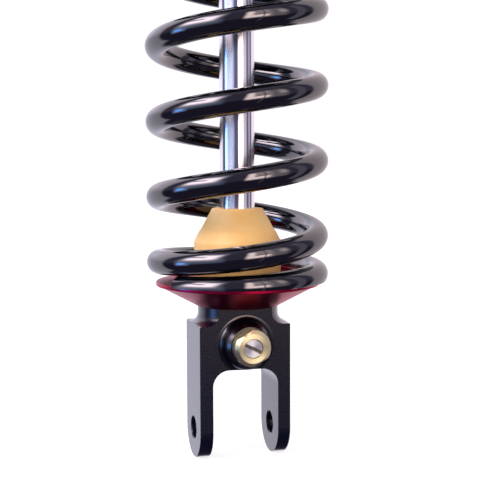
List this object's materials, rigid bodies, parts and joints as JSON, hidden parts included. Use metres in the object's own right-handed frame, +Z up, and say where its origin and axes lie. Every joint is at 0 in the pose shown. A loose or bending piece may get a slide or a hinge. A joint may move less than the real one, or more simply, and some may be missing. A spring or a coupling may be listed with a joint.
{
  "type": "rear shock absorber",
  "caption": "Monotube damper inside a coil spring, with a forked lower clevis, slotted rebound adjuster, threaded preload rings and an upper bearing eye.",
  "frame": {"origin": "centre of the lower clevis bolt", "axes": "+Z up along the damper shaft, X along both mounting bolts, -Y towards the rebound adjuster"},
  "size_m": [0.0834, 0.0834, 0.4557],
  "materials": {
    "black_anodised": "satin black anodised, machined",
    "red_anodised": "bright red anodised, turned",
    "brass": "machined",
    "screw_steel": "turned, zinc plated",
    "chrome_shaft": "hard chromed, ground and polished",
    "spring_coat": "gloss black powder coat",
    "yellow_foam": "microcellular foam skin",
    "rubber": "matt moulded rubber",
    "natural_aluminium": "turned",
    "tube_anodised": "clear hard anodised",
    "hardened_steel": "ground",
    "spring_steel": "blued",
    "ptfe": "bronze filled plastic",
    "bronze": "sintered",
    "valve_plastic": "moulded"
  },
  "bodies": {
    "eye_bearing": {"bearing_ball": "hardened_steel", "eye_sleeve": "screw_steel"},
    "damper_body": {"upper_eye": "black_anodised", "gas_valve": "brass", "gas_valve_cap": "valve_plastic", "bearing_race": "hardened_steel", "bearing_circlips": "spring_steel", "bearing_dust_seals": "rubber", "damper_tube": "tube_anodised", "dust_cap": "black_anodised", "dust_wiper": "rubber", "seal_head_circlip": "spring_steel", "seal_head": "natural_aluminium", "shaft_oil_seal": "rubber", "shaft_bush": "bronze", "seal_head_o_ring": "rubber", "top_out_bumper": "rubber", "coil_spring": "spring_coat"},
    "spring_seat": {"upper_spring_seat": "red_anodised"},
    "preload_nut": {"preload_ring": "red_anodised"},
    "lock_nut": {"lock_ring": "red_anodised"},
    "gas_piston": {"floating_piston": "natural_aluminium", "floating_piston_o_ring": "rubber"},
    "shaft_assembly": {"damper_shaft": "chrome_shaft", "lower_clevis": "black_anodised", "adjuster_body": "black_anodised", "adjuster_bush": "brass", "detent_ball": "hardened_steel", "detent_spring": "spring_steel", "lower_spring_seat": "red_anodised", "bump_stop": "yellow_foam", "piston_backing_plate": "hardened_steel", "compression_shims": "spring_steel", "rebound_shims": "spring_steel", "main_piston": "natural_aluminium", "piston_band": "ptfe", "piston_nut": "hardened_steel"},
    "adjuster_screw": {"rebound_screw": "screw_steel", "adjuster_o_ring": "rubber"},
    "adjuster_pin": {"rebound_taper_pin": "hardened_steel"},
    "adjuster_rod": {"rebound_rod": "natural_aluminium"}
  },
  "joints": [
    {"name": "eye_swivel", "type": "hinge", "parent": "eye_bearing", "child": "damper_body", "pos_m": [0, 0, 0.424], "axis": [1, 0, 0], "range_deg": [-12, 12]},
    {"name": "damper_stroke", "type": "slide", "parent": "damper_body", "child": "shaft_assembly", "axis": [0, 0, 1], "range_m": [0, 0.108], "stiffness_N_per_m": 80000, "springref_m": -0.012, "deforming": ["coil_spring", "bump_stop"]},
    {"name": "preload_turn", "type": "hinge", "parent": "spring_seat", "child": "preload_nut", "pos_m": [0, 0, 0.324], "axis": [0, 0, -1], "range_deg": [0, 1440]},
    {"name": "preload_travel", "type": "slide", "parent": "damper_body", "child": "spring_seat", "axis": [0, 0, -1], "range_m": [0, 0.0061], "deforming": ["coil_spring"]},
    {"name": "lock_turn", "type": "hinge", "parent": "spring_seat", "child": "lock_nut", "pos_m": [0, 0, 0.334], "axis": [0, 0, -1], "range_deg": [0, 1441]},
    {"name": "floating_piston_slide", "type": "slide", "parent": "damper_body", "child": "gas_piston", "axis": [0, 0, 1], "range_m": [0, 0.0135]},
    {"name": "rebound_turn", "type": "hinge", "parent": "shaft_assembly", "child": "adjuster_screw", "pos_m": [0, -0.02, 0.04], "axis": [0, 1, 0], "range_deg": [-361, 361]},
    {"name": "pin_travel", "type": "slide", "parent": "shaft_assembly", "child": "adjuster_pin", "axis": [0, 1, 0], "range_m": [-0.0008, 0.0008]},
    {"name": "rod_lift", "type": "slide", "parent": "shaft_assembly", "child": "adjuster_rod", "axis": [0, 0, 1], "range_m": [-0.00081, 0.00081]}
  ],
  "couplings": [
    {"joint": "preload_travel", "follows": "preload_turn", "m_per_rad": 0.00023873},
    {"joint": "lock_turn", "follows": "preload_turn", "ratio": 1},
    {"joint": "floating_piston_slide", "follows": "damper_stroke", "ratio": 0.12098},
    {"joint": "rebound_turn", "follows": "pin_travel", "rad_per_m": 7854},
    {"joint": "rod_lift", "follows": "pin_travel", "ratio": 1}
  ]
}
